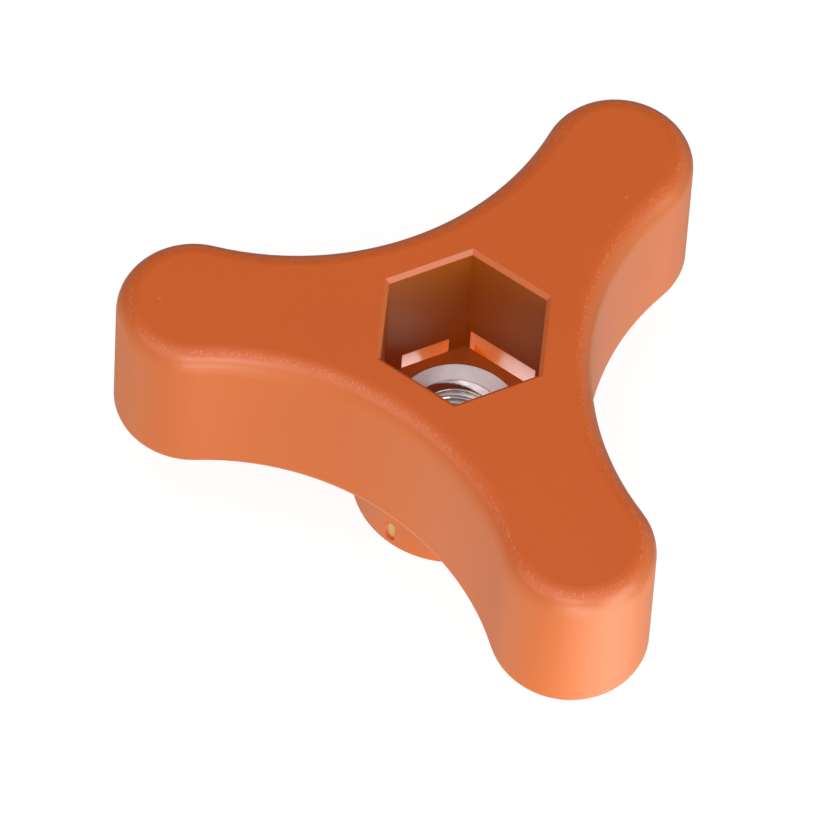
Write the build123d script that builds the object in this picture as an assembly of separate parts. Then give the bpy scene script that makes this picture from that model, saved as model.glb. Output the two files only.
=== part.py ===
from build123d import *

import os
from math import cos, radians, sin, sqrt, tan

# Three-arm clamping knob: one plastic moulding round a threaded metal bush.
# Millimetres. The origin is the centre of the hub's bottom face, +Z runs up the
# thread's axis, and one arm points along +X.

# Arms, in plan at their bottom edge
arm_count = 3
reach = 40.0                 # axis to the tip of an arm
lobe_radius = 9.2            # round end of an arm
valley_radius = 33.3         # hollow side between two arms
arm_height = 19.7
side_draft = 1.15            # degrees that the sides lean in towards the top
top_edge_radius = 2.6
bottom_edge_inset = 0.15     # the bottom edge is broken by a steep chamfer
bottom_edge_rise = 0.5

# Hub under the arms
hub_radius = 11.9
hub_height = 11.8
hub_chamfer = 0.2

# Hexagonal pocket in the top, its flats facing the arms and the valleys
pocket_flats = 18.0
pocket_chamfer = 0.5
pocket_floor_rise = 0.8      # floor above the arms' bottom edge

# Slots at the foot of the pocket's flats, open down through the hub, for a cap's legs.
# They are wide towards the arms, and narrow towards the valleys, where the wall is thin.
arm_slot_width = 9.2
arm_window_height = 3.5      # what shows above the pocket's floor
valley_slot_width = 6.0
valley_window_height = 2.6
slot_depth = 1.9             # behind the flat
slot_skin = 0.8              # what the slots leave of the hub's round wall
ramp_lean = 15.0             # degrees that a slot's outer wall leans in, up to its window's top

# Cored underside of the arms
shell_wall = 2.6
top_wall = 3.2
rib_thickness = 2.0
rib_recess = 2.0             # ribs stop this far above the arms' bottom edge
core_edge_chamfer = 0.8

# Metal bush, with a coarse M12 thread at its full depth
bush_radius = 7.75
thread_minor_radius = 5.05
thread_major_radius = 6.0
bush_groove_radius = 6.95
bush_groove_width = 3.0

# Scar of the moulding gate on the hub's side
gate_angle = 297.5           # degrees round from +X
gate_height = 3.4
gate_width = 1.3
gate_depth = 0.35
gate_middle = 2.7            # above the hub's bottom face

# Sizes that follow from the ones above
pocket_sides = 6
pocket_floor = hub_height + pocket_floor_rise
top_plane = hub_height + arm_height
flat_distance = pocket_flats / 2
pocket_corner = flat_distance / cos(radians(180 / pocket_sides))
boss_radius = pocket_corner + shell_wall
slot_radius = hub_radius - slot_skin
ramp_height = slot_depth / tan(radians(ramp_lean))
core_depth = arm_height - top_wall
countersink = thread_major_radius - thread_minor_radius


def around(count, shape, first_angle=0.0):
    """Copies of a shape, evenly spaced round the knob's axis."""
    step = 360 / count
    return [Rot(0, 0, first_angle + step * index) * shape for index in range(count)]


def polar(distance, angle):
    """A point in plan, from its distance and its angle in degrees."""
    return Vector(distance * cos(radians(angle)), distance * sin(radians(angle)))


def arm_plan(inset=0.0):
    """Plan of the arms: round ends and hollow sides that run smoothly into each other.

    An inset moves every arc inwards by the same amount, so that a wall stays even.
    """
    lobe = lobe_radius - inset
    valley = valley_radius + inset
    lobe_distance = reach - lobe_radius
    half_pitch = 180 / arm_count
    joined = lobe_radius + valley_radius
    along = lobe_distance * cos(radians(half_pitch))
    across = lobe_distance * sin(radians(half_pitch))
    valley_distance = along + sqrt(joined**2 - across**2)
    arcs = []
    for index in range(arm_count):
        arm_angle = 2 * half_pitch * index
        lobe_centre = polar(lobe_distance, arm_angle)
        valley_before = polar(valley_distance, arm_angle - half_pitch)
        valley_after = polar(valley_distance, arm_angle + half_pitch)
        next_lobe = polar(lobe_distance, arm_angle + 2 * half_pitch)
        lobe_start = lobe_centre + (valley_before - lobe_centre).normalized() * lobe
        lobe_end = lobe_centre + (valley_after - lobe_centre).normalized() * lobe
        next_start = valley_after + (next_lobe - valley_after).normalized() * valley
        tip = polar(lobe_distance + lobe, arm_angle)
        waist = polar(valley_distance - valley, arm_angle + half_pitch)
        arcs.append(ThreePointArc(lobe_start, tip, lobe_end))
        arcs.append(ThreePointArc(lobe_end, waist, next_start))
    return make_face(arcs)


def arm_block():
    """The arms as a solid block with leaning sides and soft edges."""
    block = Pos(0, 0, hub_height) * extrude(arm_plan(), amount=arm_height, taper=side_draft)
    top_edges = block.faces().sort_by(Axis.Z)[-1].edges()
    block = fillet(top_edges, top_edge_radius)
    underside = block.faces().sort_by(Axis.Z)[0]
    return chamfer(underside.edges(), bottom_edge_inset, bottom_edge_rise, reference=underside)


def hub():
    """The hub below the arms, with a chamfered foot."""
    post = Cylinder(hub_radius, pocket_floor, align=(Align.CENTER, Align.CENTER, Align.MIN))
    foot_edge = post.edges().sort_by(Axis.Z)[0]
    return chamfer(foot_edge, hub_chamfer)


def pocket():
    """The hexagonal pocket with its chamfered mouth, as the space it takes."""
    turned = 180 / pocket_sides
    hexagon = RegularPolygon(flat_distance, pocket_sides, major_radius=False, rotation=turned)
    mouth = RegularPolygon(
        flat_distance + pocket_chamfer, pocket_sides, major_radius=False, rotation=turned
    )
    shaft = Pos(0, 0, pocket_floor) * extrude(hexagon, amount=top_plane - pocket_floor)
    chamfer_start = top_plane - pocket_chamfer
    rim = loft([Pos(0, 0, chamfer_start) * hexagon, Pos(0, 0, top_plane) * mouth])
    return shaft + rim


def cap_slot(width, window_height):
    """One slot beside a flat of the pocket, as the space it takes.

    Its outer wall rises straight and then leans in, as a ramp that meets the flat at the top
    of the window. Where the slot is wide, its lower ends follow the hub's round wall.
    """
    window_top = pocket_floor + window_height
    outer_wall = flat_distance + slot_depth
    section = Polyline(
        (flat_distance, 0),
        (outer_wall, 0),
        (outer_wall, window_top - ramp_height),
        (flat_distance, window_top),
        close=True,
    )
    strip = extrude(Plane.XZ * make_face(section), amount=width / 2, both=True)
    within = Cylinder(slot_radius, window_top, align=(Align.CENTER, Align.CENTER, Align.MIN))
    return strip & within


def arm_cores():
    """The hollows in the arms' underside: two to an arm, one each side of its rib."""
    straight = core_depth - core_edge_chamfer
    core = extrude(arm_plan(inset=shell_wall), amount=straight, taper=side_draft)
    ceiling = core.faces().sort_by(Axis.Z)[-1]
    core = core + extrude(ceiling, amount=core_edge_chamfer, taper=45)
    base = (Align.CENTER, Align.CENTER, Align.MIN)
    boss_top = boss_radius + core_depth * tan(radians(side_draft))
    core = core - Cone(boss_radius, boss_top, core_depth, align=base)
    rib_length = reach - shell_wall
    rib = Pos(0, 0, rib_recess) * Box(
        rib_length, rib_thickness, core_depth, align=(Align.MIN, Align.CENTER, Align.MIN)
    )
    for placed_rib in around(arm_count, rib):
        core = core - placed_rib
    return Pos(0, 0, hub_height) * core


def bush_blank():
    """The outside of the metal bush: a turned blank with one holding groove."""
    groove_low = (pocket_floor - bush_groove_width) / 2
    groove_high = groove_low + bush_groove_width
    outline = Polyline(
        (0, 0),
        (bush_radius, 0),
        (bush_radius, groove_low),
        (bush_groove_radius, groove_low),
        (bush_groove_radius, groove_high),
        (bush_radius, groove_high),
        (bush_radius, pocket_floor),
        (0, pocket_floor),
        close=True,
    )
    return revolve(Plane.XZ * make_face(outline), Axis.Z)


def threaded_bush():
    """The metal bush, bored to the thread's minor diameter and countersunk at the top."""
    bore = Cylinder(thread_minor_radius, 3 * pocket_floor)
    sink_start = pocket_floor - countersink
    sink = Pos(0, 0, sink_start) * Cone(
        thread_minor_radius,
        thread_major_radius,
        countersink,
        align=(Align.CENTER, Align.CENTER, Align.MIN),
    )
    return bush_blank() - bore - sink


def gate_scar():
    """The shallow upright oval that the gate left on the hub's side."""
    side = Plane(
        origin=(hub_radius - gate_depth, 0, gate_middle), x_dir=(0, 0, 1), z_dir=(1, 0, 0)
    )
    oval = extrude(side * SlotOverall(gate_height, gate_width), amount=2 * gate_depth)
    return Rot(0, 0, gate_angle) * oval


def knob_body():
    """The whole moulding, as one solid."""
    body = arm_block() + hub()
    body = body - arm_cores()
    body = body - pocket()
    for slot in around(arm_count, cap_slot(arm_slot_width, arm_window_height)):
        body = body - slot
    half_pitch = 180 / arm_count
    for slot in around(arm_count, cap_slot(valley_slot_width, valley_window_height), half_pitch):
        body = body - slot
    body = body - bush_blank()
    return body - gate_scar()


os.makedirs("parts", exist_ok=True)
pieces = {"knob_body": knob_body(), "threaded_bush": threaded_bush()}
for name, piece in pieces.items():
    export_step(piece, f"parts/{name}.step")
    print(name, len(piece.solids()), "solid,", round(piece.volume / 1000, 2), "cm3")
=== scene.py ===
# %% [markdown]
# A three-arm clamping knob, dressed for a studio picture. The solids come from the
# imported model: one orange moulding and one metal bush. Nothing there is moved. This
# lesson gives the moulding its plastic, cuts a real thread into the bush, and sets a
# camera, a pale table and soft light.

# %% Load the frame
from math import cos, pi, radians, sin

import bmesh
import bpy
from mathutils import Matrix, Vector


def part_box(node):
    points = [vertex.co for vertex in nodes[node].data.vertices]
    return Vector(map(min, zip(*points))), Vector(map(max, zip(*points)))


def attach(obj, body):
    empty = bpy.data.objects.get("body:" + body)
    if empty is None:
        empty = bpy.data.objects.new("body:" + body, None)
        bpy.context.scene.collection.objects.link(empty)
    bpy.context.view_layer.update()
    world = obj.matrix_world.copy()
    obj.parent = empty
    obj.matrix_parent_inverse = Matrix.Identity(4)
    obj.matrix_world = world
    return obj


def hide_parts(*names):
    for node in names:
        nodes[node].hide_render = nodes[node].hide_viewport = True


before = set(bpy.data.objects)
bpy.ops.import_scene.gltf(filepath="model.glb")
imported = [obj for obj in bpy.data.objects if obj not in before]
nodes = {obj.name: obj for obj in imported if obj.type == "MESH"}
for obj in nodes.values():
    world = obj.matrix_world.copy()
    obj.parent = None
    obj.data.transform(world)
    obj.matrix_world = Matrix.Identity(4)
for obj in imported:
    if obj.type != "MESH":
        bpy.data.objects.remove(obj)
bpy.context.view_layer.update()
MM = 0.001

# %% [markdown]
# The camera looks down on the knob from its front. It stands far away with a long lens,
# so the far arm is hardly smaller than the near one. Its place is given as a turn and a
# height seen from the knob, a distance, and the point it aims at.

# %% Camera
CAMERA_TURN = radians(62.66)
CAMERA_HEIGHT = radians(56.49)
CAMERA_ROLL = radians(3.83)
CAMERA_DISTANCE = 0.6953
CAMERA_AIM = Vector((-2.70, -4.45, 12.03)) * MM
LENS_MM = 259.2
SENSOR_MM = 36
NEAREST_SEEN = 0.01
FARTHEST_SEEN = 20


def camera_axes(turn, height, roll):
    """Right, up and backward directions of a camera that stands at a turn and a height."""
    back = Vector((sin(turn) * cos(height), -cos(turn) * cos(height), sin(height)))
    level = Vector((cos(turn), sin(turn), 0))
    upright = back.cross(level)
    right = level * cos(roll) + upright * sin(roll)
    up = upright * cos(roll) - level * sin(roll)
    return right, up, back


def add_camera():
    """The picture's camera, made the scene's own."""
    right, up, back = camera_axes(CAMERA_TURN, CAMERA_HEIGHT, CAMERA_ROLL)
    data = bpy.data.cameras.new("picture_camera")
    data.lens = LENS_MM
    data.sensor_width = SENSOR_MM
    data.clip_start = NEAREST_SEEN
    data.clip_end = FARTHEST_SEEN
    camera = bpy.data.objects.new("picture_camera", data)
    turned = Matrix((right, up, back)).transposed().to_4x4()
    camera.matrix_world = Matrix.Translation(CAMERA_AIM + back * CAMERA_DISTANCE) @ turned
    bpy.context.scene.collection.objects.link(camera)
    bpy.context.scene.camera = camera
    return camera


camera = add_camera()
print("camera at", [round(value, 4) for value in camera.matrix_world.translation])

# %% [markdown]
# Materials are built from nodes, and three helpers keep that code short. One adds a node and
# sets its plain values, one places a group of nodes, and one starts a new material.

# %% Helpers for nodes


def add_node(tree, kind, inputs=None, **settings):
    """Adds a node, sets its own settings and the values of its unlinked inputs."""
    node = tree.nodes.new(kind)
    for name, value in settings.items():
        setattr(node, name, value)
    for name, value in (inputs or {}).items():
        node.inputs[name].default_value = value
    return node


def add_group(tree, group, inputs):
    """Places a group in a material with its own values."""
    node = tree.nodes.new("ShaderNodeGroup")
    node.node_tree = group
    for name, value in inputs.items():
        node.inputs[name].default_value = value
    return node


def new_material(name):
    """An empty material with its output node."""
    material = bpy.data.materials.new(name)
    material.use_nodes = True
    material.node_tree.nodes.clear()
    output = material.node_tree.nodes.new("ShaderNodeOutputMaterial")
    return material, material.node_tree, output


# %% [markdown]
# The table is a plain white plane. The camera sees it as white card that still takes the
# knob's soft shadow. All other light passes through it, as on a light table, so the sides
# and the hub are lit from below too, and the lamps down there shine in the plastic.

# %% Table
TABLE_SIZE = 6.0
TABLE_WHITE = 0.2
TABLE_GLOW = 0.9


def table_material():
    """White card for the camera, clear for the light from below."""
    material, tree, output = new_material("light_table")
    card = add_node(tree, "ShaderNodeBsdfDiffuse", {"Color": (TABLE_WHITE,) * 3 + (1,)})
    glow = add_node(tree, "ShaderNodeEmission", {"Strength": TABLE_GLOW})
    seen_card = add_node(tree, "ShaderNodeAddShader")
    tree.links.new(card.outputs[0], seen_card.inputs[0])
    tree.links.new(glow.outputs[0], seen_card.inputs[1])
    clear = add_node(tree, "ShaderNodeBsdfTransparent")
    ray = add_node(tree, "ShaderNodeLightPath")
    mix = add_node(tree, "ShaderNodeMixShader")
    tree.links.new(ray.outputs["Is Camera Ray"], mix.inputs[0])
    tree.links.new(clear.outputs[0], mix.inputs[1])
    tree.links.new(seen_card.outputs[0], mix.inputs[2])
    tree.links.new(mix.outputs[0], output.inputs["Surface"])
    return material


def add_table():
    """A wide flat plane under the hub."""
    mesh = bpy.data.meshes.new("table")
    half = TABLE_SIZE / 2
    corners = [(-half, -half, 0), (half, -half, 0), (half, half, 0), (-half, half, 0)]
    mesh.from_pydata(corners, [], [(0, 1, 2, 3)])
    mesh.materials.append(table_material())
    table = bpy.data.objects.new("table", mesh)
    bpy.context.scene.collection.objects.link(table)
    return table


table = add_table()
print("table", table.name, "is", TABLE_SIZE, "m wide")

# %% [markdown]
# The room itself gives a low, even light. The camera sees it as plain white instead, so the
# background is white without any more light on the knob. Light Path tells the two apart.

# %% Room
ROOM_LIGHT = 0.2
WHITE = (1, 1, 1, 1)


def set_room():
    """Plain white for the camera, and a low even light for everything else."""
    world = bpy.data.worlds.new("room")
    world.use_nodes = True
    tree = world.node_tree
    tree.nodes.clear()
    output = tree.nodes.new("ShaderNodeOutputWorld")
    light = add_node(tree, "ShaderNodeBackground", {"Color": WHITE, "Strength": ROOM_LIGHT})
    white = add_node(tree, "ShaderNodeBackground", {"Color": WHITE, "Strength": 1.0})
    ray = add_node(tree, "ShaderNodeLightPath")
    mix = add_node(tree, "ShaderNodeMixShader")
    tree.links.new(ray.outputs["Is Camera Ray"], mix.inputs[0])
    tree.links.new(light.outputs[0], mix.inputs[1])
    tree.links.new(white.outputs[0], mix.inputs[2])
    tree.links.new(mix.outputs[0], output.inputs["Surface"])
    bpy.context.scene.world = world


set_room()
bpy.context.scene.view_settings.view_transform = "Standard"
print("world", bpy.context.scene.world.name)

# %% [markdown]
# Soft square lamps do the rest. Many weak ones are used, not a few strong ones, because the
# knob turns a side in every direction, and each side then gets its own share of light. A
# lamp's place is a turn round the knob and a height, in degrees. A negative height is below
# the table. Those on the left are a little warm, and some on the right a little cool. The
# low one on the left is large, so that it draws no sharp line of shine on the arms' sides.

# %% Lamps round the knob
LAMP_DISTANCE = 1.2
LAMP_SIZE = 0.8
PLAIN = (1, 1, 1)
WARM = (1, 0.88, 0.8)
AMBER = (1, 0.74, 0.5)
COOL = (0.88, 1, 1)


def add_lamp(name, turn, height, power, colour=PLAIN, size=LAMP_SIZE, distance=LAMP_DISTANCE):
    """A soft square lamp that faces the knob from a turn and a height, in degrees."""
    _, _, back = camera_axes(radians(turn), radians(height), 0)
    data = bpy.data.lights.new(name, "AREA")
    data.shape = "SQUARE"
    data.size = size
    data.energy = power
    data.color = colour
    lamp = bpy.data.objects.new(name, data)
    lamp.location = back * distance
    lamp.rotation_euler = back.to_track_quat("Z", "Y").to_euler()
    bpy.context.scene.collection.objects.link(lamp)
    return lamp


lamps = [
    add_lamp("left_lamp", 0, 50, 2.0, WARM),
    add_lamp("left_low_lamp", 340, -20, 4.6, AMBER, size=1.6),
    add_lamp("left_under_lamp", 0, -50, 1.0, AMBER),
    add_lamp("back_under_lamp", 300, -50, 0.9, AMBER),
    add_lamp("front_lamp", 66, 12, 1.5, size=0.4),
    add_lamp("front_low_lamp", 60, -15, 1.2, WARM),
    add_lamp("front_under_lamp", 60, -50, 0.4),
    add_lamp("front_high_lamp", 60, 50, 0.6, WARM),
    add_lamp("middle_low_lamp", 90, -15, 0.9, COOL),
    add_lamp("right_lamp", 120, 20, 4.6, COOL),
    add_lamp("right_high_lamp", 120, 50, 0.7, WARM),
    add_lamp("right_low_lamp", 120, -15, 0.6, COOL),
    add_lamp("right_under_lamp", 120, -50, 2.6, COOL),
    add_lamp("far_under_lamp", 180, -50, 1.0),
    add_lamp("far_right_lamp", 180, 20, 0.6, WARM),
    add_lamp("overhead_lamp", 0, 88, 2.2),
]
print("lamps round the knob", len(lamps))

# %% [markdown]
# Four more lamps are there for one shine each. The edge lamp stands a little lower than the
# camera and draws the highlight along the arms' rounded edges. The ramps in the pocket's
# slots lean by 15 degrees, so they mirror what lies nearly straight below. Two small lamps
# wait there, one for each slot that shows. A panel close to the front arm's round end gives
# it a pale veil of shine and leaves the hub alone.

# %% Lamps for the shines
shines = [
    add_lamp("edge_lamp", 62, 45, 2.0, size=0.4),
    add_lamp("left_slot_lamp", 178, -75, 0.75, size=0.4),
    add_lamp("right_slot_lamp", 297, -73, 0.65, size=0.4),
    add_lamp("near_panel", 90, -5, 0.026, COOL, size=0.08, distance=0.09),
]
watts = sum(lamp.data.energy for lamp in lamps + shines)
print("lamps for the shines", len(shines), "all together", round(watts, 1), "watts")

# %% [markdown]
# Effects that are used more than once are shader node groups. The first is a fine grain:
# a mould that was spark-eroded leaves a sandy skin, and a turned face is never quite even.
# It gives a height for bump and a slow drift that varies the colour.

# %% Group for grain


def new_group(name, inputs, outputs):
    """An empty shader node group with number sockets, and its two end nodes."""
    group = bpy.data.node_groups.new(name, "ShaderNodeTree")
    for socket, value in inputs.items():
        made = group.interface.new_socket(socket, in_out="INPUT", socket_type="NodeSocketFloat")
        made.default_value = value
    for socket in outputs:
        group.interface.new_socket(socket, in_out="OUTPUT", socket_type="NodeSocketFloat")
    return group, group.nodes.new("NodeGroupInput"), group.nodes.new("NodeGroupOutput")


def build_grain_group():
    """Fine grain as a height, and a slow drift from 0 to 1."""
    group, inside, outside = new_group(
        "fine_grain", {"Grain Scale": 3000.0, "Drift Scale": 60.0}, ("Height", "Drift")
    )
    place = add_node(group, "ShaderNodeTexCoord")
    grain = add_node(
        group, "ShaderNodeTexNoise", {"Detail": 3.0, "Roughness": 0.6}, noise_dimensions="3D"
    )
    drift = add_node(
        group, "ShaderNodeTexNoise", {"Detail": 2.0, "Roughness": 0.5}, noise_dimensions="3D"
    )
    for noise, scale in ((grain, "Grain Scale"), (drift, "Drift Scale")):
        group.links.new(place.outputs["Object"], noise.inputs["Vector"])
        group.links.new(inside.outputs[scale], noise.inputs["Scale"])
    group.links.new(grain.outputs["Fac"], outside.inputs["Height"])
    group.links.new(drift.outputs["Fac"], outside.inputs["Drift"])
    return group


fine_grain = build_grain_group()
print("group", fine_grain.name, "with", len(fine_grain.nodes), "nodes")

# %% [markdown]
# The second group scatters small specks. Each cell of a Voronoi pattern holds one point,
# and only the cells with a low random value show theirs, so the specks lie apart. The
# plastic uses it twice: for a little dust, and for painted glints along the arms' edges.

# %% Group for specks


def build_speck_group():
    """A mask that is 1 in the middle of scattered specks and 0 between them."""
    group, inside, outside = new_group(
        "scattered_specks", {"Scale": 900.0, "Size": 0.2, "Share": 0.02}, ("Mask",)
    )
    place = add_node(group, "ShaderNodeTexCoord")
    cells = add_node(group, "ShaderNodeTexVoronoi", voronoi_dimensions="3D")
    group.links.new(place.outputs["Object"], cells.inputs["Vector"])
    group.links.new(inside.outputs["Scale"], cells.inputs["Scale"])
    near = add_node(group, "ShaderNodeMapRange", {"From Min": 0.0, "To Min": 1.0, "To Max": 0.0})
    group.links.new(cells.outputs["Distance"], near.inputs["Value"])
    group.links.new(inside.outputs["Size"], near.inputs["From Max"])
    chance = add_node(group, "ShaderNodeSeparateColor")
    group.links.new(cells.outputs["Color"], chance.inputs[0])
    chosen = add_node(group, "ShaderNodeMath", operation="LESS_THAN")
    group.links.new(chance.outputs[0], chosen.inputs[0])
    group.links.new(inside.outputs["Share"], chosen.inputs[1])
    strength = add_node(group, "ShaderNodeMath", operation="MULTIPLY")
    group.links.new(chosen.outputs[0], strength.inputs[0])
    group.links.new(near.outputs[0], strength.inputs[1])
    group.links.new(strength.outputs[0], outside.inputs["Mask"])
    return group


specks = build_speck_group()
print("group", specks.name, "with", len(specks.nodes), "nodes")

# %% [markdown]
# Two finishes depend on how far a point lies from the thread's axis: the pocket is painted
# darker, as painted shade, and is smoother than the arms, and the steel shows rings from
# the lathe. One group measures that distance. It reads object coordinates, so nothing shifts
# when the camera moves.

# %% Group for the distance from the axis


def build_axis_group():
    """Distance from the object's own Z axis, and height above its origin."""
    group, _, outside = new_group("axis_distance", {}, ("Distance", "Height"))
    place = add_node(group, "ShaderNodeTexCoord")
    flat = add_node(group, "ShaderNodeVectorMath", operation="MULTIPLY")
    flat.inputs[1].default_value = (1, 1, 0)
    group.links.new(place.outputs["Object"], flat.inputs[0])
    length = add_node(group, "ShaderNodeVectorMath", operation="LENGTH")
    group.links.new(flat.outputs[0], length.inputs[0])
    group.links.new(length.outputs["Value"], outside.inputs["Distance"])
    split = add_node(group, "ShaderNodeSeparateXYZ")
    group.links.new(place.outputs["Object"], split.inputs[0])
    group.links.new(split.outputs["Z"], outside.inputs["Height"])
    return group


axis_distance = build_axis_group()
print("group", axis_distance.name, "with", len(axis_distance.nodes), "nodes")

# %% [markdown]
# The moulding is orange plastic right through. The mould was spark-eroded, so its skin is
# matt and sandy. Masks tell where that changes, each a number from 0 to 1 that is worked
# out from a point's place or from the way its face leans. Painting them by hand would need
# an image. A lean is given as the upward part of the face's normal: 1 is level, 0 upright.

# %% Masks on the moulding
POCKET_REACH = 11.3 * MM
POCKET_RIM = 30.9 * MM
FLAT_REACH = 9.03 * MM
SLOT_TOP = 16.3 * MM
SOFT = 0.15 * MM
CRISP = 0.02 * MM
FLAT_TURNS = (0, 60, 120)
SCAR_TURN = radians(297.5)
SCAR_RADIUS = 11.6 * MM
SCAR_HEIGHT = 2.7 * MM
SCAR_WIDTH = 0.62 * MM
SCAR_STRETCH = 0.42


def below(tree, socket, limit, softness):
    """1 where a value is under a limit, 0 above it, with a soft step between."""
    step = add_node(
        tree,
        "ShaderNodeMapRange",
        {"From Min": limit - softness, "From Max": limit + softness, "To Min": 1.0, "To Max": 0.0},
    )
    tree.links.new(socket, step.inputs["Value"])
    return step.outputs[0]


def combine(tree, operation, first, second):
    """One number from two, by a plain operation."""
    node = add_node(tree, "ShaderNodeMath", operation=operation)
    tree.links.new(first, node.inputs[0])
    tree.links.new(second, node.inputs[1])
    return node.outputs[0]


def by_mask(tree, mask, outside, inside):
    """A number that goes from one value to another with a mask."""
    node = add_node(tree, "ShaderNodeMapRange", {"To Min": outside, "To Max": inside})
    tree.links.new(mask, node.inputs["Value"])
    return node.outputs[0]


def inside_mask(tree, top):
    """1 near the axis and below a height, so in the pocket and its slots. 0 elsewhere."""
    axis = add_group(tree, axis_distance, {})
    near = below(tree, axis.outputs["Distance"], POCKET_REACH, SOFT)
    deep = below(tree, axis.outputs["Height"], top, SOFT)
    return combine(tree, "MULTIPLY", near, deep)


def slot_mask(tree):
    """1 in the slots, which lie behind the flats of the pocket."""
    place = add_node(tree, "ShaderNodeTexCoord")
    reaches = []
    for turn in FLAT_TURNS:
        along = add_node(tree, "ShaderNodeVectorMath", operation="DOT_PRODUCT")
        along.inputs[1].default_value = (cos(radians(turn)), sin(radians(turn)), 0)
        tree.links.new(place.outputs["Object"], along.inputs[0])
        size = add_node(tree, "ShaderNodeMath", operation="ABSOLUTE")
        tree.links.new(along.outputs["Value"], size.inputs[0])
        reaches.append(size.outputs[0])
    farther = combine(tree, "MAXIMUM", reaches[0], reaches[1])
    farthest = combine(tree, "MAXIMUM", farther, reaches[2])
    behind = by_mask(tree, below(tree, farthest, FLAT_REACH, CRISP), 1.0, 0.0)
    return combine(tree, "MULTIPLY", behind, inside_mask(tree, SLOT_TOP))


def leaning_mask(tree, limit, softness):
    """1 on faces that lean over, 0 on those whose normal points up by more than a limit."""
    place = add_node(tree, "ShaderNodeTexCoord")
    split = add_node(tree, "ShaderNodeSeparateXYZ")
    tree.links.new(place.outputs["Normal"], split.inputs[0])
    return below(tree, split.outputs["Z"], limit, softness)


def edge_mask(tree, start, end):
    """1 on a band of the rounded edges, between two leans. Each is a limit and a softness."""
    return combine(tree, "SUBTRACT", leaning_mask(tree, *start), leaning_mask(tree, *end))


def scar_mask(tree):
    """1 on the upright oval that the gate left on the hub."""
    centre = Vector((cos(SCAR_TURN) * SCAR_RADIUS, sin(SCAR_TURN) * SCAR_RADIUS, SCAR_HEIGHT))
    place = add_node(tree, "ShaderNodeTexCoord")
    offset = add_node(tree, "ShaderNodeVectorMath", operation="SUBTRACT")
    offset.inputs[1].default_value = centre
    tree.links.new(place.outputs["Object"], offset.inputs[0])
    squeezed = add_node(tree, "ShaderNodeVectorMath", operation="MULTIPLY")
    squeezed.inputs[1].default_value = (1, 1, SCAR_STRETCH)
    tree.links.new(offset.outputs[0], squeezed.inputs[0])
    length = add_node(tree, "ShaderNodeVectorMath", operation="LENGTH")
    tree.links.new(squeezed.outputs[0], length.inputs[0])
    return below(tree, length.outputs["Value"], SCAR_WIDTH, SOFT)


# %% [markdown]
# The colour starts from the orange of the arms' top, and each mask mixes its own tint over
# it. The upright sides are painted paler: painted light, as from the lamps below the table.
# The pocket's walls are painted darker: painted shade in the deep recess. The gate scar on
# the hub is painted palest: a painted glow of light through the thin wall there. Last come
# the specks: a little dust, and painted glints along the crest of the edges.

# %% Colour of the plastic
ORANGE = (0.81, 0.131, 0.008, 1)
ORANGE_DRIFT = (0.84, 0.146, 0.010, 1)
# Painted light: the upright sides are painted paler, as if lit from below.
PAINTED_LIGHT_SIDE_ORANGE = (0.80, 0.182, 0.034, 1)
# Painted shade: the pocket's walls are painted darker.
PAINTED_SHADE_POCKET_ORANGE = (0.54, 0.125, 0.004, 1)
# Painted glow: the gate scar is painted pale, as light showing through the thin wall.
SCAR_GLOW_ORANGE = (0.84, 0.56, 0.22, 1)
# Pale specks: a little dust, and painted glints along the crest of the edges.
SPECK_AND_GLINT_ORANGE = (0.92, 0.36, 0.16, 1)
DUST = {"Scale": 1300.0, "Size": 0.25, "Share": 0.008}
CREST_GLINTS = {"Scale": 5000.0, "Size": 0.65, "Share": 0.35}
SIDE_LEAN = (0.75, 0.2)
CREST_START, CREST_END = (0.96, 0.02), (0.86, 0.06)


def tint(tree, base, colour, mask):
    """Mixes a colour over a base where a mask is 1. The base is a colour or a socket."""
    mix = add_node(tree, "ShaderNodeMix", data_type="RGBA")
    if isinstance(base, tuple):
        mix.inputs["A"].default_value = base
    else:
        tree.links.new(base, mix.inputs["A"])
    mix.inputs["B"].default_value = colour
    tree.links.new(mask, mix.inputs["Factor"])
    return mix.outputs["Result"]


def plastic_colour(tree, drift, inside, slots):
    """The plastic's colour, from its drift and from the masks of the pocket and the slots."""
    outside = by_mask(tree, inside, 1.0, 0.0)
    # Painted shade: the pocket's walls get a darker tint.
    painted_shade_walls = combine(tree, "SUBTRACT", inside, slots)
    # Painted light: the upright sides get a paler tint.
    painted_light_sides = combine(tree, "MULTIPLY", leaning_mask(tree, *SIDE_LEAN), outside)
    crest = edge_mask(tree, CREST_START, CREST_END)
    # Painted highlight: pale specks along the crest stand for glints.
    painted_glints = combine(tree, "MULTIPLY", crest, add_group(tree, specks, CREST_GLINTS).outputs["Mask"])
    dust_and_glints = combine(tree, "MAXIMUM", add_group(tree, specks, DUST).outputs["Mask"], painted_glints)
    colour = tint(tree, ORANGE, ORANGE_DRIFT, drift)
    colour = tint(tree, colour, PAINTED_LIGHT_SIDE_ORANGE, painted_light_sides)
    colour = tint(tree, colour, PAINTED_SHADE_POCKET_ORANGE, painted_shade_walls)
    # Painted glow: the gate scar gets a pale tint, as light through the thin wall.
    colour = tint(tree, colour, SCAR_GLOW_ORANGE, scar_mask(tree))
    return tint(tree, colour, SPECK_AND_GLINT_ORANGE, dust_and_glints)


# %% [markdown]
# The finish changes with the masks too. The skin is matt, with a sandy bump that fades in
# the pocket, which was formed by a smoother pin, and the slots are polished. The rounded
# edges get a thin coat, because there the sand is worn flat and shines. Light also comes
# through the thin plastic of the slots. Real scattering would be slow here, so those faces
# glow faintly in the plastic's orange.

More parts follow.
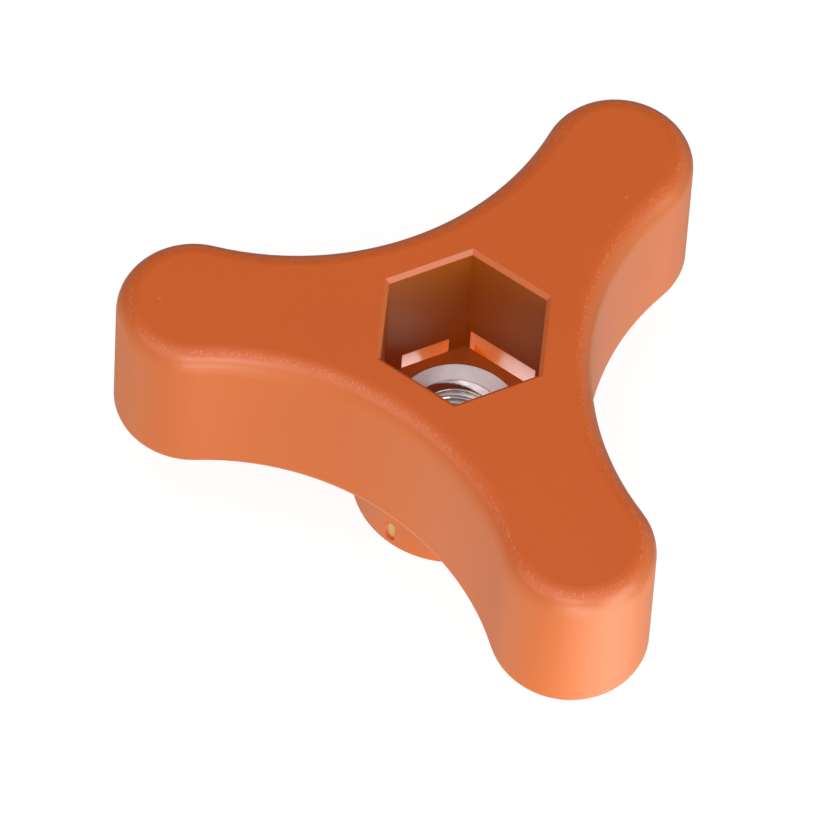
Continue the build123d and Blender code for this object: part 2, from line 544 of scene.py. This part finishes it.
# %% Orange plastic
SKIN_ROUGHNESS = 0.45
POLISHED_ROUGHNESS = 0.2
PLASTIC_IOR = 1.65
PLASTIC_GRAIN = {"Grain Scale": 2600.0, "Drift Scale": 45.0}
POCKET_SAND = 0.2
SAND_STRENGTH = 0.35
SAND_HEIGHT = 0.06 * MM
EDGE_START, EDGE_END = (0.9, 0.08), (0.3, 0.2)
EDGE_GLOSS = 0.8
EDGE_ROUGHNESS = 0.3
SKIN_GLOW = 0.36
SKIN_ORANGE = (0.80, 0.20, 0.01, 1)
NO_GLOW = (0, 0, 0, 1)


def orange_plastic():
    """Matt, finely grained orange plastic, smoother in the pocket and glossy at its edges."""
    material, tree, output = new_material("orange_plastic")
    grain = add_group(tree, fine_grain, PLASTIC_GRAIN)
    inside = inside_mask(tree, POCKET_RIM)
    slots = slot_mask(tree)
    colour = plastic_colour(tree, grain.outputs["Drift"], inside, slots)
    roughness = by_mask(tree, slots, SKIN_ROUGHNESS, POLISHED_ROUGHNESS)
    glossy = combine(tree, "MAXIMUM", edge_mask(tree, EDGE_START, EDGE_END), slots)
    sand = by_mask(tree, inside, 1.0, POCKET_SAND)
    height = combine(tree, "MULTIPLY", grain.outputs["Height"], sand)
    bump_settings = {"Strength": SAND_STRENGTH, "Distance": SAND_HEIGHT}
    bump = add_node(tree, "ShaderNodeBump", bump_settings)
    tree.links.new(height, bump.inputs["Height"])
    plain_settings = {
        "IOR": PLASTIC_IOR,
        "Coat Roughness": EDGE_ROUGHNESS,
        "Emission Strength": SKIN_GLOW,
    }
    shader = add_node(tree, "ShaderNodeBsdfPrincipled", plain_settings)
    tree.links.new(colour, shader.inputs["Base Color"])
    tree.links.new(roughness, shader.inputs["Roughness"])
    tree.links.new(bump.outputs[0], shader.inputs["Normal"])
    tree.links.new(by_mask(tree, glossy, 0.0, EDGE_GLOSS), shader.inputs["Coat Weight"])
    tree.links.new(tint(tree, NO_GLOW, SKIN_ORANGE, slots), shader.inputs["Emission Color"])
    tree.links.new(shader.outputs[0], output.inputs["Surface"])
    return material


body = nodes["knob_body"]
body.data.materials.clear()
body.data.materials.append(orange_plastic())
print("plastic on", body.name, "with", len(body.data.polygons), "faces")

# %% [markdown]
# The bush is a turned steel sleeve, plated bright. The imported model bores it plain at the
# thread's minor radius. Here the sleeve is made again with its real thread: a coarse M12,
# whose ridge climbs 1.75 mm a turn. The wall is a grid of rows that follow the ridge, and
# each row's radius comes from its place in the thread's profile. A screw modifier would be
# shorter, but it couldn't cut the rows off flat at both ends, where a cone opens the mouth.
# The top face is slightly dished, and so it catches the light from overhead.

# %% Threaded bush
PITCH = 1.75 * MM
MINOR_RADIUS = 5.05 * MM
MAJOR_RADIUS = 6.0 * MM
MOUTH_RADIUS = 5.85 * MM
DISH_DEPTH = 0.5 * MM
GROOVE_RADIUS = 6.95 * MM
GROOVE_WIDTH = 3.0 * MM
RIM_ROUND = 0.12 * MM
COLUMNS = 192
ROWS_PER_TURN = 28
THREAD_CREST = 0.25
THREAD_ROOT = 0.125
THREAD_CORNER = 0.03
SMOOTH_BELOW = radians(35)
TOUCH = 1e-7

bush_low, bush_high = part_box("threaded_bush")
bush_radius = bush_high[0]
bush_bottom, bush_top = bush_low[2], bush_high[2]
mouth_top = bush_top - DISH_DEPTH


def thread_depth(phase):
    """Depth of the groove, 0 on the crest and 1 at the root, over one turn of phase."""
    distance = min(phase, 1 - phase)
    crest_end = THREAD_CREST / 2
    root_start = (1 - THREAD_ROOT) / 2
    depth = (distance - crest_end) / (root_start - crest_end)
    rounding = THREAD_CORNER
    if depth < -rounding:
        return 0
    if depth > 1 + rounding:
        return 1
    if depth < rounding:
        return (depth + rounding) ** 2 / (4 * rounding)
    if depth > 1 - rounding:
        return 1 - (1 + rounding - depth) ** 2 / (4 * rounding)
    return depth


def wall_radius(height, phase):
    """Radius of the threaded wall, opened by a cone at each mouth.

    At the very end the groove closes, so that the wall meets the mouth's round edge.
    """
    thread = MINOR_RADIUS + (MAJOR_RADIUS - MINOR_RADIUS) * thread_depth(phase)
    from_end = min(height - bush_bottom, mouth_top - height)
    return max(min(thread, MOUTH_RADIUS + from_end), MOUTH_RADIUS - from_end)


def ring_of(mesh, radius, height):
    """A level ring of points with one point per column."""
    turns = [2 * pi * column / COLUMNS for column in range(COLUMNS)]
    return [mesh.verts.new((radius * cos(turn), radius * sin(turn), height)) for turn in turns]


def thread_rows(mesh):
    """Rows of points on the threaded wall, from the bottom mouth to the top one."""
    turns = int((mouth_top - bush_bottom) / PITCH) + 2
    rows = []
    for step in range(-ROWS_PER_TURN, turns * ROWS_PER_TURN):
        row = []
        for column in range(COLUMNS):
            share = column / COLUMNS
            climb = bush_bottom + PITCH * (step / ROWS_PER_TURN + share)
            height = min(max(climb, bush_bottom), mouth_top)
            radius = wall_radius(height, (height / PITCH - share) % 1)
            turn = 2 * pi * share
            row.append(mesh.verts.new((radius * cos(turn), radius * sin(turn), height)))
        rows.append(row)
    return rows


def join_rows(mesh, rows, climb=0):
    """Quads between neighbouring rows, closed round the axis.

    On a helix the last column meets the first one a whole turn further on.
    """
    for index in range(len(rows) - 1):
        for column in range(COLUMNS):
            after = (column + 1) % COLUMNS
            jump = climb if after == 0 else 0
            upper = index + 1 + jump
            if upper >= len(rows):
                continue
            corners = (
                rows[index][column],
                rows[index + jump][after],
                rows[upper][after],
                rows[index + 1][column],
            )
            mesh.faces.new(corners)


def sleeve_profile():
    """Outside of the sleeve from its top mouth round to its bottom mouth."""
    middle = (bush_bottom + bush_top) / 2
    groove_high = middle + GROOVE_WIDTH / 2
    groove_low = middle - GROOVE_WIDTH / 2
    edge = bush_radius - RIM_ROUND
    return (
        (MOUTH_RADIUS, mouth_top),
        (edge, bush_top),
        (bush_radius, bush_top - RIM_ROUND),
        (bush_radius, groove_high),
        (GROOVE_RADIUS, groove_high),
        (GROOVE_RADIUS, groove_low),
        (bush_radius, groove_low),
        (bush_radius, bush_bottom + RIM_ROUND),
        (edge, bush_bottom),
        (MOUTH_RADIUS, bush_bottom),
    )


def build_bush():
    """The sleeve as one closed mesh: threaded wall inside, plain grooved wall outside."""
    mesh = bmesh.new()
    join_rows(mesh, thread_rows(mesh), climb=ROWS_PER_TURN)
    outside = [ring_of(mesh, radius, height) for radius, height in sleeve_profile()]
    join_rows(mesh, outside)
    bmesh.ops.remove_doubles(mesh, verts=mesh.verts, dist=TOUCH)
    bmesh.ops.dissolve_degenerate(mesh, edges=mesh.edges, dist=TOUCH)
    bmesh.ops.recalc_face_normals(mesh, faces=mesh.faces)
    data = bpy.data.meshes.new("threaded_sleeve")
    mesh.to_mesh(data)
    open_edges = sum(1 for edge in mesh.edges if not edge.is_manifold)
    mesh.free()
    data.shade_smooth()
    data.set_sharp_from_angle(angle=SMOOTH_BELOW)
    sleeve = bpy.data.objects.new("threaded_sleeve", data)
    bpy.context.scene.collection.objects.link(sleeve)
    print("sleeve faces", len(data.polygons), "open edges", open_edges)
    return sleeve


sleeve = build_bush()

# %% [markdown]
# The steel shows the lathe: fine rings round the axis on its face, and a slightly uneven
# plating. The rings are a wave of the distance from the axis, so they stay round from any
# side, and the grain group breaks them up. The thread is glossier than the face, since a
# tap that presses the thread into shape also burnishes it.

# %% Turned steel
STEEL = (0.95, 0.90, 0.92, 1)
STEEL_DULL = (0.70, 0.65, 0.68, 1)
FACE_ROUGHNESS = 0.42
THREAD_ROUGHNESS = 0.16
STEEL_GRAIN = {"Grain Scale": 1800.0, "Drift Scale": 500.0}
MOUTH_SOFTNESS = 0.03 * MM
TURNING_STEP = 0.11 * MM
TURNING_SHARE = 0.35
TURNING_STRENGTH = 0.5
TURNING_HEIGHT = 0.012 * MM


def turned_steel():
    """Bright plated steel with fine turning rings."""
    material, tree, output = new_material("turned_steel")
    grain = add_group(tree, fine_grain, STEEL_GRAIN)
    axis = add_group(tree, axis_distance, {})
    phase = add_node(tree, "ShaderNodeMath", operation="MULTIPLY")
    phase.inputs[1].default_value = 2 * pi / TURNING_STEP
    tree.links.new(axis.outputs["Distance"], phase.inputs[0])
    wave = add_node(tree, "ShaderNodeMath", operation="SINE")
    tree.links.new(phase.outputs[0], wave.inputs[0])
    height = add_node(tree, "ShaderNodeMath", operation="MULTIPLY_ADD")
    height.inputs[1].default_value = TURNING_SHARE
    tree.links.new(wave.outputs[0], height.inputs[0])
    tree.links.new(grain.outputs["Height"], height.inputs[2])
    bump_settings = {"Strength": TURNING_STRENGTH, "Distance": TURNING_HEIGHT}
    bump = add_node(tree, "ShaderNodeBump", bump_settings)
    tree.links.new(height.outputs[0], bump.inputs["Height"])
    colour = tint(tree, STEEL, STEEL_DULL, grain.outputs["Drift"])
    thread = below(tree, axis.outputs["Distance"], MOUTH_RADIUS, MOUTH_SOFTNESS)
    gloss = by_mask(tree, thread, FACE_ROUGHNESS, THREAD_ROUGHNESS)
    shader = add_node(tree, "ShaderNodeBsdfPrincipled", {"Metallic": 1.0})
    tree.links.new(colour, shader.inputs["Base Color"])
    tree.links.new(gloss, shader.inputs["Roughness"])
    tree.links.new(bump.outputs[0], shader.inputs["Normal"])
    tree.links.new(shader.outputs[0], output.inputs["Surface"])
    return material


sleeve.data.materials.append(turned_steel())
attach(sleeve, "root")
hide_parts("threaded_bush")
print("steel on", sleeve.name, "with", len(sleeve.data.polygons), "faces")
